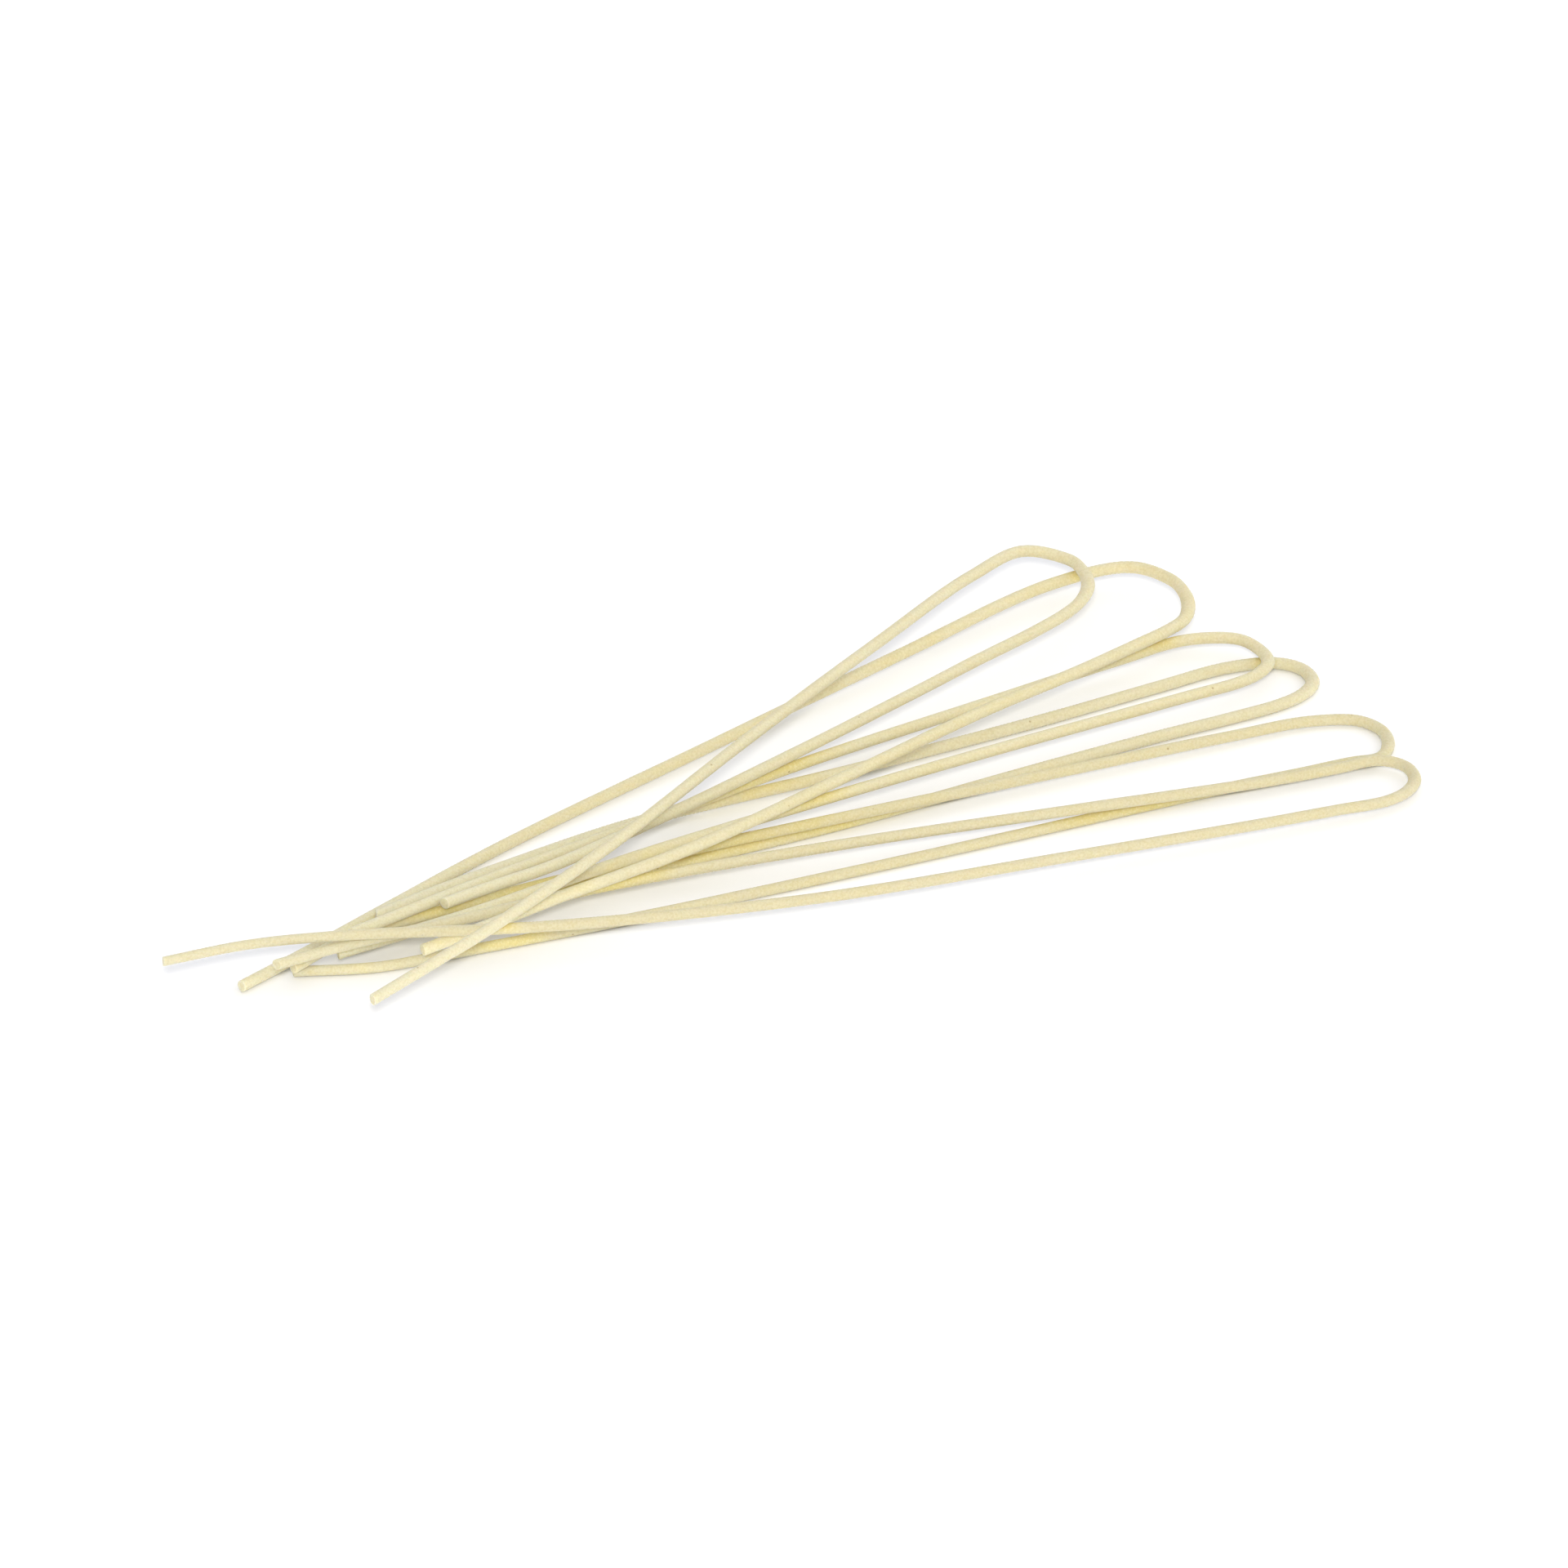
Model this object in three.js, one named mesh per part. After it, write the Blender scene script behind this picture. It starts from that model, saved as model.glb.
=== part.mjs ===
import * as THREE from 'three';

// A loose bundle of thick round spaghetti, dry and brittle.
// Each strand dried folded in two over a rod, so it is a long hairpin:
// a far leg, a round bend, and a near leg. The bends fan out towards +X,
// and the cut ends cross in a pile towards -X.
// Millimetres, +Z up. The lowest strands lie on z = 0.

// A strand's section is a regular polygon; its diameter is across the flats,
// so a strand that lies on the surface rests on a narrow flat facet.
const strandSides = 8;

// In plan a strand is wider round its bend than along its legs, by this share
// at the tip, fading out over a short way down both legs.
const bendSwelling = 0.17;
const bendSwellingReach = 11;

// Towards a cut end it thins to its own share of the diameter, over this way.
const thinningReach = 70;

// Distance between cross-sections: close together round the bend and wider
// apart along the legs. The bend's sections reach this far from its tip.
const bendStep = 2.4;
const legStep = 9;
const bendReach = 26;

// The route is sampled this many times between two of its points.
const samplesPerSpan = 24;

// Position of the bend's tip in every route.
const tipIndex = 10;

// The hairpin's axis runs to its tip from midway between its two legs, taken
// this far down both of them.
const axisReach = 30;

// Plan routes run from the far leg's cut end, round the bend, to the near
// leg's cut end. Heights are those of the strand's centre line.
const strands = [
  {
    // the top strand: a short near leg and a far leg that crosses the whole pile
    name: 'strand_a',
    colour: '#e8dba8',
    roughness: 0.62,
    diameter: 2.55,
    route: [
      [-89, -102], [-76.5, -88], [-64, -73.5], [-38.5, -38.5], [-10, 8], [18, 54],
      [38.5, 88], [50, 101.5], [59.5, 98.5], [62.5, 93], [63.5, 86.5], [62, 80], [59, 74.5],
      [52, 66], [39.5, 53], [27.5, 40], [0, 11], [-28, -17], [-51.5, -38.5], [-63, -46.5],
      [-74, -54.5],
    ],
    height: { tip: 8.5, farMiddle: 13.3, farEnd: 10.1, nearMiddle: 8.2, nearEnd: 7.6 },
    thinTo: { far: 0.97, near: 1 },
    cutSlant: { far: 0.35, near: -0.2 },
  },
  {
    // the widest fold, its far leg low and its near leg bridging the middle of the pile
    name: 'strand_b',
    colour: '#e6d8a4',
    roughness: 0.64,
    diameter: 2.6,
    route: [
      [-117, -80], [-103.5, -65], [-90.5, -50], [-59.5, -15.5], [-18.5, 24.5], [23, 64],
      [56, 93.5], [72.5, 99.5], [81, 93.5], [84, 87.5], [85, 81], [84, 74.5], [80.5, 69],
      [73.5, 61], [61, 47.5], [42.5, 29.5], [11, -3], [-22, -34], [-52, -54.5],
      [-65, -63.5], [-78.5, -72],
    ],
    height: { tip: 6.6, farMiddle: 2.4, farEnd: 1.4, nearMiddle: 10.2, nearEnd: 5.8 },
    thinTo: { far: 0.96, near: 1 },
    cutSlant: { far: 0.15, near: 0.1 },
  },
  {
    // raised where it passes over the next two
    name: 'strand_c',
    colour: '#e7daa8',
    roughness: 0.6,
    diameter: 2.5,
    route: [
      [-93.5, -67.5], [-80.5, -56], [-67.5, -44.5], [-36.5, -19], [2, 12.5], [42.5, 41.5],
      [69.5, 60.5], [84.5, 70], [95.5, 70.5], [100, 66], [102, 60], [99.5, 54], [95, 49.5],
      [86, 43.5], [71, 33.5], [46, 17.5], [5.5, -8], [-35, -33], [-67, -54], [-81.5, -62],
      [-96.5, -70],
    ],
    height: { tip: 4.2, farMiddle: 5.2, farEnd: 7.5, nearMiddle: 7.2, nearEnd: 3.8 },
    thinTo: { far: 1, near: 1 },
    cutSlant: { far: -0.1, near: 0.2 },
  },
  {
    // lies on the surface almost along its whole length
    name: 'strand_d',
    colour: '#e9dcab',
    roughness: 0.62,
    diameter: 2.6,
    route: [
      [-88.5, -51.5], [-76, -40.5], [-63, -30], [-32, -7.5], [10.5, 15], [52.5, 38.5],
      [78, 54], [93.5, 63], [104, 65], [109.5, 62], [111.5, 56], [109, 50.5], [104, 46],
      [94.5, 40.5], [78.5, 32], [53, 17.5], [12, -6.5], [-30.5, -28], [-65, -44.5],
      [-79.5, -52.5], [-94, -61],
    ],
    height: { tip: 1.3, farMiddle: 1.7, farEnd: 3, nearMiddle: 1.3, nearEnd: 1.3 },
    thinTo: { far: 1, near: 1 },
    cutSlant: { far: 0.6, near: 0.1 },
  },
  {
    // near leg flat on the surface, far leg just above it
    name: 'strand_e',
    colour: '#eaddac',
    roughness: 0.6,
    diameter: 2.4,
    route: [
      [-106, -76.5], [-93.5, -62.5], [-77.5, -53], [-39, -32.5], [10, -9.5], [59, 13.5],
      [94, 30.5], [110.5, 38], [121, 39], [126, 35], [127.5, 28.5], [125.5, 22.5],
      [119.5, 20.5], [109.5, 16], [93, 9], [61, -6], [14, -28], [-33, -49], [-71, -64.5],
      [-88, -71], [-106, -73],
    ],
    height: { tip: 1.2, farMiddle: 3.9, farEnd: 3.9, nearMiddle: 1.2, nearEnd: 1.2 },
    thinTo: { far: 1, near: 0.95 },
    cutSlant: { far: 0.2, near: -0.15 },
  },
  {
    // the longest strand, climbing over the pile and thinning at its cut ends
    name: 'strand_f',
    colour: '#e8dbaa',
    roughness: 0.63,
    diameter: 2.4,
    route: [
      [-109.5, -82.5], [-93.5, -72.5], [-76.5, -64], [-38.5, -44], [11.5, -23.5],
      [62, -5.5], [99, 7.5], [115.5, 14.5], [125.5, 19], [131, 16.5], [133, 10.5],
      [131, 4.5], [126.5, 0], [116.5, -4.5], [100, -12], [59, -29.5], [5.5, -51.5],
      [-50, -67], [-96, -74], [-115.5, -79], [-133.5, -87.5],
    ],
    height: { tip: 2.4, farMiddle: 5.3, farEnd: 8, nearMiddle: 7.3, nearEnd: 11.5 },
    thinTo: { far: 0.97, near: 0.85 },
    cutSlant: { far: -0.25, near: 0.3 },
  },
];

// Falls smoothly from 1 at no distance to 0 at the reach.
function fade(distance, reach) {
  return 1 - THREE.MathUtils.smoothstep(distance, 0, reach);
}

// Smooth height profile through three values: t = 0 at the bend's tip,
// 0.5 in the middle of the leg and 1 at its cut end.
function legHeight(t, tip, middle, end) {
  return tip * (1 - t) * (1 - 2 * t) + middle * 4 * t * (1 - t) + end * t * (2 * t - 1);
}

// Plan position at a distance along a sampled polyline.
function pointAlong(samples, lengths, distance) {
  let i = 1;
  while (i < samples.length - 1 && lengths[i] < distance) {
    i += 1;
  }
  const part = (distance - lengths[i - 1]) / (lengths[i] - lengths[i - 1]);
  return samples[i - 1].clone().lerp(samples[i], part);
}

function cumulativeLengths(samples) {
  const lengths = [0];
  for (let i = 1; i < samples.length; i += 1) {
    lengths.push(lengths[i - 1] + samples[i].distanceTo(samples[i - 1]));
  }
  return lengths;
}

// Distances from the tip at which a leg gets a cross-section.
function stations(length) {
  const bendCount = Math.round(bendReach / bendStep);
  const legCount = Math.ceil((length - bendReach) / legStep);
  const list = [];
  for (let i = 1; i <= bendCount; i += 1) {
    list.push((bendReach * i) / bendCount);
  }
  for (let i = 1; i <= legCount; i += 1) {
    list.push(bendReach + ((length - bendReach) * i) / legCount);
  }
  return list;
}

// Centre line in space: the plan route lifted by the height profiles, with t
// measured along the hairpin's axis. Each point comes with its distance from
// the tip and its half thickness.
function centreLine(strand) {
  const points = strand.route.map(([x, y]) => new THREE.Vector3(x, y, 0));
  const plan = new THREE.CatmullRomCurve3(points, false, 'centripetal');
  const samples = plan.getPoints(samplesPerSpan * (points.length - 1));
  const tipSample = samplesPerSpan * tipIndex;
  const farSamples = samples.slice(0, tipSample + 1).reverse();
  const nearSamples = samples.slice(tipSample);
  const farLengths = cumulativeLengths(farSamples);
  const nearLengths = cumulativeLengths(nearSamples);

  const tip = farSamples[0];
  const farBehind = pointAlong(farSamples, farLengths, axisReach);
  const nearBehind = pointAlong(nearSamples, nearLengths, axisReach);
  const axis = tip.clone().sub(farBehind.add(nearBehind).multiplyScalar(0.5)).normalize();

  const radius = strand.diameter / 2;

  function lift(legSamples, lengths, middle, end, thinTo) {
    const full = lengths[lengths.length - 1];
    const reach = tip.clone().sub(legSamples[legSamples.length - 1]).dot(axis);
    return stations(full).map((distance) => {
      const p = pointAlong(legSamples, lengths, distance);
      const behind = Math.max(tip.clone().sub(p).dot(axis), 0);
      p.z = legHeight(Math.min(behind / reach, 1), strand.height.tip, middle, end);
      const thinned = 1 - (1 - thinTo) * fade(full - distance, thinningReach);
      return { centre: p, fromTip: distance, radius: radius * thinned };
    });
  }

  const { height, thinTo } = strand;
  const far = lift(farSamples, farLengths, height.farMiddle, height.farEnd, thinTo.far);
  const near = lift(nearSamples, nearLengths, height.nearMiddle, height.nearEnd, thinTo.near);
  const top = { centre: tip.clone().setZ(height.tip), fromTip: 0, radius };
  return [...far.reverse(), top, ...near];
}

// Corners of one cross-section, upright in the strand's own direction there.
// A slanted section leans along the strand from one side to the other.
function sectionCorners({ centre, fromTip, radius }, tangent, slant) {
  const side = new THREE.Vector3(0, 0, 1).cross(tangent).normalize();
  const rise = new THREE.Vector3().crossVectors(tangent, side);
  const cornerRadius = radius / Math.cos(Math.PI / strandSides);
  const widening = 1 + bendSwelling * fade(fromTip, bendSwellingReach);
  const corners = [];
  for (let k = 0; k < strandSides; k += 1) {
    const angle = ((k + 0.5) / strandSides) * 2 * Math.PI;
    const across = Math.cos(angle) * cornerRadius * widening;
    const corner = centre.clone().addScaledVector(side, across);
    corner.addScaledVector(rise, Math.sin(angle) * cornerRadius);
    corner.addScaledVector(tangent, across * slant);
    corners.push(corner);
  }
  return corners;
}

// Closed round bar along the centre line, one ring of corners per point and
// a fan on each cut end. The cut ends slant a little across the strand.
function strandGeometry(strand) {
  const line = centreLine(strand);
  const positions = [];
  const indices = [];
  const last = line.length - 1;

  line.forEach((point, i) => {
    const ahead = line[Math.min(i + 1, last)].centre;
    const behind = line[Math.max(i - 1, 0)].centre;
    const tangent = ahead.clone().sub(behind).normalize();
    let slant = 0;
    if (i === 0) {
      slant = strand.cutSlant.far;
    }
    if (i === last) {
      slant = strand.cutSlant.near;
    }
    for (const corner of sectionCorners(point, tangent, slant)) {
      positions.push(...corner);
    }
  });

  for (let i = 0; i < last; i += 1) {
    for (let k = 0; k < strandSides; k += 1) {
      const a = i * strandSides + k;
      const b = i * strandSides + ((k + 1) % strandSides);
      indices.push(a, b, b + strandSides, a, b + strandSides, a + strandSides);
    }
  }

  const farCentre = positions.length / 3;
  positions.push(...line[0].centre);
  const nearCentre = farCentre + 1;
  positions.push(...line[last].centre);
  for (let k = 0; k < strandSides; k += 1) {
    const next = (k + 1) % strandSides;
    indices.push(farCentre, next, k);
    indices.push(nearCentre, last * strandSides + k, last * strandSides + next);
  }

  const geometry = new THREE.BufferGeometry();
  geometry.setAttribute('position', new THREE.Float32BufferAttribute(positions, 3));
  geometry.setIndex(indices);
  geometry.computeVertexNormals();
  return geometry;
}

const bundle = new THREE.Group();
bundle.name = 'spaghetti_bundle';
for (const strand of strands) {
  const material = new THREE.MeshStandardMaterial({
    color: strand.colour,
    roughness: strand.roughness,
    metalness: 0,
  });
  const mesh = new THREE.Mesh(strandGeometry(strand), material);
  mesh.name = strand.name;
  bundle.add(mesh);
}

// The origin is under the middle of the bundle, on the surface it lies on.
const extent = new THREE.Box3().setFromObject(bundle);
const middle = extent.getCenter(new THREE.Vector3());
bundle.position.set(-middle.x, -middle.y, -extent.min.z);
bundle.updateMatrixWorld(true);

export default bundle;
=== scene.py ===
import bpy
import math
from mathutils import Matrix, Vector


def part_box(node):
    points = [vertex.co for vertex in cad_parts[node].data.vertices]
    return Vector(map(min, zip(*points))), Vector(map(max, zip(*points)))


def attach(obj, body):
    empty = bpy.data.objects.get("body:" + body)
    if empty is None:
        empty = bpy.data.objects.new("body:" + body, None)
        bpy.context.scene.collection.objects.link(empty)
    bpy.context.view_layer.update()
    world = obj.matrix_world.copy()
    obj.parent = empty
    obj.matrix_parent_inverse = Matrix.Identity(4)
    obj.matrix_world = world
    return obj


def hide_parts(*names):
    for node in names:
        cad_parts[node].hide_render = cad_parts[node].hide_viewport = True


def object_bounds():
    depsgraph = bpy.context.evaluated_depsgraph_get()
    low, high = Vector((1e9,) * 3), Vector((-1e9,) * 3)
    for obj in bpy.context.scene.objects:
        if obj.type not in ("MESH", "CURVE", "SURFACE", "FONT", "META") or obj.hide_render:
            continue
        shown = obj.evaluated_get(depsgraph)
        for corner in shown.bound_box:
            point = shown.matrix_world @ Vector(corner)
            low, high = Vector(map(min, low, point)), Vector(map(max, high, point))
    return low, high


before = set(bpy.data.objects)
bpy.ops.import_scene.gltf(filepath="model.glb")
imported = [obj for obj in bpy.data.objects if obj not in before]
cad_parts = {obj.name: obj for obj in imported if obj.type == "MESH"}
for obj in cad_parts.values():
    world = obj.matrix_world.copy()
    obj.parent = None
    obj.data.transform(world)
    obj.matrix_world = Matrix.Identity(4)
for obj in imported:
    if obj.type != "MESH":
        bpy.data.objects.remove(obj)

# A loose bundle of thick dried spaghetti: long hairpin strands that dried over a rod,
# fanned out at their bends and crossing in a low pile at their cut ends.

mm = 0.001  # sizes in the dictionaries are in millimetres
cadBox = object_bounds()
cadSize = Vector(cadBox[1]) - Vector(cadBox[0])
print("frame loaded, bundle", [round(v / mm, 1) for v in cadSize], "mm")


def linearColour(code):
    parts = [int(code[i:i + 2], 16) / 255 for i in (1, 3, 5)]
    parts = [c / 12.92 if c <= 0.04045 else ((c + 0.055) / 1.055) ** 2.4 for c in parts]
    return (*parts, 1.0)


# adds one node with its settings; an input is a plain value, a socket that feeds it, or a
# node whose first output does
def addNode(tree, kind, inputs=None, **settings):
    node = tree.nodes.new(kind)
    for name, value in settings.items():
        setattr(node, name, value)
    for key, value in (inputs or {}).items():
        if isinstance(value, bpy.types.Node):
            value = value.outputs[0]
        if isinstance(value, bpy.types.NodeSocket):
            tree.links.new(value, node.inputs[key])
        else:
            node.inputs[key].default_value = value
    return node


camera = {
    "elevation": 28.4,  # degrees above the table
    "aim": (-2.1, 13.07, 0),  # the point of the table in the middle of the picture
    "width": 335.0,  # of the table across the picture
    "distance": 14000,  # far off, so the strands hardly shrink towards the back
    "sensor": 36,
    "clipFrom": 100,
    "clipTo": 40000,
}


def makeCamera():
    data = bpy.data.cameras.new("camera")
    data.sensor_width = camera["sensor"]
    data.lens = camera["sensor"] * camera["distance"] / camera["width"]
    data.clip_start = camera["clipFrom"] * mm
    data.clip_end = camera["clipTo"] * mm
    viewer = bpy.data.objects.new("camera", data)
    bpy.context.scene.collection.objects.link(viewer)
    tilt = math.radians(camera["elevation"])
    away = Vector((0, -math.cos(tilt), math.sin(tilt))) * camera["distance"]
    viewer.location = (Vector(camera["aim"]) + away) * mm
    viewer.rotation_euler = (math.pi / 2 - tilt, 0, 0)
    bpy.context.scene.camera = viewer


makeCamera()
print("camera placed")

# Routes are plan points from the far leg's cut end, round the bend, to the near leg's
# cut end. Heights are those of the strand's middle.

strandA = {  # top of the pile: a short near leg and a far leg that crosses everything
    "node": "strand_a",
    "route": [
        (-89, -102), (-76.5, -88), (-64, -73.5), (-38.5, -38.5), (-10, 8), (18, 54), (38.5, 88),
        (50, 101.5), (59.5, 98.5), (62.5, 93), (63.5, 86.5), (62, 80), (59, 74.5), (52, 66),
        (39.5, 53), (27.5, 40), (0, 11), (-28, -17), (-51.5, -38.5), (-63, -46.5), (-74, -54.5),
    ],
    "height": {"tip": 8.5, "farMiddle": 13.3, "farEnd": 10.1, "nearMiddle": 8.2, "nearEnd": 7.6},
    "cutSlant": (0.35, -0.2),  # far cut, near cut
    "thinTo": (0.97, 1),  # share of the diameter left at each cut
    "diameter": 2.55,
    "rippleDepth": 0.35,  # of the deepest ripples, 1 is the most
    "tone": 0.45,  # 0 pale, 1 golden
    # painted shade: this strand's colour is darkened by this factor, to even out how squarely the key light
    # falls on it
    "lightness": 0.97,
    "seed": 11,
}

strandB = {  # the widest fold, far leg low, near leg bridging the middle of the pile
    "node": "strand_b",
    "route": [
        (-117, -80), (-103.5, -65), (-90.5, -50), (-59.5, -15.5), (-18.5, 24.5), (23, 64),
        (56, 93.5), (72.5, 99.5), (81, 93.5), (84, 87.5), (85, 81), (84, 74.5), (80.5, 69),
        (73.5, 61), (61, 47.5), (42.5, 29.5), (11, -3), (-22, -34), (-52, -54.5), (-65, -63.5),
        (-78.5, -72),
    ],
    "height": {"tip": 6.6, "farMiddle": 2.4, "farEnd": 1.4, "nearMiddle": 10.2, "nearEnd": 5.8},
    "cutSlant": (0.15, 0.1),  # far cut, near cut
    "thinTo": (0.96, 1),  # share of the diameter left at each cut
    "diameter": 2.6,
    "rippleDepth": 0.75,  # of the deepest ripples, 1 is the most
    "tone": 0.55,  # 0 pale, 1 golden
    # painted shade: this strand's colour is darkened by this factor, to even out how squarely the key light
    # falls on it
    "lightness": 0.98,
    "seed": 23,
}

strandC = {  # raised where it passes over the next two
    "node": "strand_c",
    "route": [
        (-93.5, -67.5), (-80.5, -56), (-67.5, -44.5), (-36.5, -19), (2, 12.5), (42.5, 41.5),
        (69.5, 60.5), (84.5, 70), (95.5, 70.5), (100, 66), (102, 60), (99.5, 54), (95, 49.5),
        (86, 43.5), (71, 33.5), (46, 17.5), (5.5, -8), (-35, -33), (-67, -54), (-81.5, -62),
        (-96.5, -70),
    ],
    "height": {"tip": 4.2, "farMiddle": 5.2, "farEnd": 7.5, "nearMiddle": 7.2, "nearEnd": 3.8},
    "cutSlant": (-0.1, 0.2),  # far cut, near cut
    "thinTo": (1, 1),  # share of the diameter left at each cut
    "diameter": 2.5,
    "rippleDepth": 0.2,  # of the deepest ripples, 1 is the most
    "tone": 0.5,  # 0 pale, 1 golden
    # painted shade: this strand's colour is darkened by this factor, to even out how squarely the key light
    # falls on it
    "lightness": 0.98,
    "seed": 37,
}

strandD = {  # lies on the table almost all along
    "node": "strand_d",
    "route": [
        (-88.5, -51.5), (-76, -40.5), (-63, -30), (-32, -7.5), (10.5, 15), (52.5, 38.5),
        (78, 54), (93.5, 63), (104, 65), (109.5, 62), (111.5, 56), (109, 50.5), (104, 46),
        (94.5, 40.5), (78.5, 32), (53, 17.5), (12, -6.5), (-30.5, -28), (-65, -44.5),
        (-79.5, -52.5), (-94, -61),
    ],
    "height": {"tip": 1.3, "farMiddle": 1.7, "farEnd": 3, "nearMiddle": 1.3, "nearEnd": 1.3},
    "cutSlant": (0.6, 0.1),  # far cut, near cut
    "thinTo": (1, 1),  # share of the diameter left at each cut
    "diameter": 2.6,
    "rippleDepth": 1.0,  # of the deepest ripples, 1 is the most
    "tone": 0.4,  # 0 pale, 1 golden
    # painted shade: this strand's colour is darkened by this factor, to even out how squarely the key light
    # falls on it
    "lightness": 0.95,
    "seed": 41,
}

strandE = {  # near leg flat on the table, far leg just above it
    "node": "strand_e",
    "route": [
        (-106, -76.5), (-93.5, -62.5), (-77.5, -53), (-39, -32.5), (10, -9.5), (59, 13.5),
        (94, 30.5), (110.5, 38), (121, 39), (126, 35), (127.5, 28.5), (125.5, 22.5),
        (119.5, 20.5), (109.5, 16), (93, 9), (61, -6), (14, -28), (-33, -49), (-71, -64.5),
        (-88, -71), (-106, -73),
    ],
    "height": {"tip": 1.2, "farMiddle": 3.9, "farEnd": 3.9, "nearMiddle": 1.2, "nearEnd": 1.2},
    "cutSlant": (0.2, -0.15),  # far cut, near cut
    "thinTo": (1, 0.95),  # share of the diameter left at each cut
    "diameter": 2.4,
    "rippleDepth": 0.3,  # of the deepest ripples, 1 is the most
    "tone": 0.55,  # 0 pale, 1 golden
    # painted shade: this strand's colour is darkened by this factor, to even out how squarely the key light
    # falls on it
    "lightness": 0.91,
    "seed": 59,
}

strandF = {  # the longest strand, climbing over the pile at its cut ends
    "node": "strand_f",
    "route": [
        (-109.5, -82.5), (-93.5, -72.5), (-76.5, -64), (-38.5, -44), (11.5, -23.5), (62, -5.5),
        (99, 7.5), (115.5, 14.5), (125.5, 19), (131, 16.5), (133, 10.5), (131, 4.5), (126.5, 0),
        (116.5, -4.5), (100, -12), (59, -29.5), (5.5, -51.5), (-50, -67), (-96, -74),
        (-115.5, -79), (-133.5, -87.5),
    ],
    "height": {"tip": 2.4, "farMiddle": 5.3, "farEnd": 8, "nearMiddle": 7.3, "nearEnd": 11.5},
    "cutSlant": (-0.25, 0.3),  # far cut, near cut
    "thinTo": (0.97, 0.85),  # share of the diameter left at each cut
    "diameter": 2.4,
    "rippleDepth": 0.45,  # of the deepest ripples, 1 is the most
    "tone": 0.5,  # 0 pale, 1 golden
    # painted shade: this strand's colour is darkened by this factor, to even out how squarely the key light
    # falls on it
    "lightness": 0.9,
    "seed": 67,
}

line = {
    "tipPoint": 10,  # the bend's tip in every route
    "samplesPerSpan": 24,
    "step": 1.5,  # between points of the finished line
    "axisReach": 30,  # how far down both legs the hairpin's axis is taken
    "origin": (-0.36, 0.1),  # where the routes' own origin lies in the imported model
}


# rounded path through the points, each span leaning on its two neighbours
def smoothPath(points, perSpan):
    pts = [Vector(p) for p in points]
    pts = [2 * pts[0] - pts[1]] + pts + [2 * pts[-1] - pts[-2]]
    path = []
    for i in range(1, len(pts) - 2):
        p0, p1, p2, p3 = pts[i - 1:i + 3]
        d0, d1, d2 = [math.sqrt((b - a).length) for a, b in ((p0, p1), (p1, p2), (p2, p3))]
        t1 = ((p1 - p0) / d0 - (p2 - p0) / (d0 + d1) + (p2 - p1) / d1) * d1
        t2 = ((p2 - p1) / d1 - (p3 - p1) / (d1 + d2) + (p3 - p2) / d2) * d1
        for k in range(perSpan):
            t = k / perSpan
            bow = (3 * (p2 - p1) - 2 * t1 - t2) * t * t
            turn = (2 * (p1 - p2) + t1 + t2) * t ** 3
            path.append(p1 + t1 * t + bow + turn)
    path.append(pts[-2])
    return path


def lengthsAlong(path):
    lengths = [0.0]
    for a, b in zip(path, path[1:]):
        lengths.append(lengths[-1] + (b - a).length)
    return lengths


def pointAlong(path, lengths, distance):
    i = 1
    while i < len(path) - 1 and lengths[i] < distance:
        i += 1
    part = (distance - lengths[i - 1]) / (lengths[i] - lengths[i - 1])
    return path[i - 1].lerp(path[i], part)


# smooth height through three values: t is 0 at the bend, 0.5 mid-leg, 1 at the cut end
def legHeight(t, tip, middle, end):
    return tip * (1 - t) * (1 - 2 * t) + middle * 4 * t * (1 - t) + end * t * (2 * t - 1)


# the strand's middle line in space, and which of its points is the bend's tip
def strandLine(strand):
    path = smoothPath(strand["route"], line["samplesPerSpan"])
    path = [p + Vector(line["origin"]) for p in path]
    tipSample = line["tipPoint"] * line["samplesPerSpan"]
    farPath, nearPath = path[:tipSample + 1][::-1], path[tipSample:]
    farLengths, nearLengths = lengthsAlong(farPath), lengthsAlong(nearPath)
    tip = path[tipSample]
    farBehind = pointAlong(farPath, farLengths, line["axisReach"])
    nearBehind = pointAlong(nearPath, nearLengths, line["axisReach"])
    axis = (tip - (farBehind + nearBehind) / 2).normalized()
    height = strand["height"]

    def lift(legPath, lengths, middle, end):
        reach = (tip - legPath[-1]).dot(axis)
        count = round(lengths[-1] / line["step"])
        points = []
        for i in range(1, count + 1):
            p = pointAlong(legPath, lengths, lengths[-1] * i / count)
            t = min(max((tip - p).dot(axis), 0) / reach, 1)
            points.append(Vector((p.x, p.y, legHeight(t, height["tip"], middle, end))))
        return points

    far = lift(farPath, farLengths, height["farMiddle"], height["farEnd"])
    near = lift(nearPath, nearLengths, height["nearMiddle"], height["nearEnd"])
    return far[::-1] + [Vector((tip.x, tip.y, height["tip"]))] + near, len(far)


strands = [strandA, strandB, strandC, strandD, strandE, strandF]
lines = [strandLine(strand) for strand in strands]
print("strand lines laid", [round(lengthsAlong(points)[-1]) for points, tip in lines], "mm long")

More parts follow.
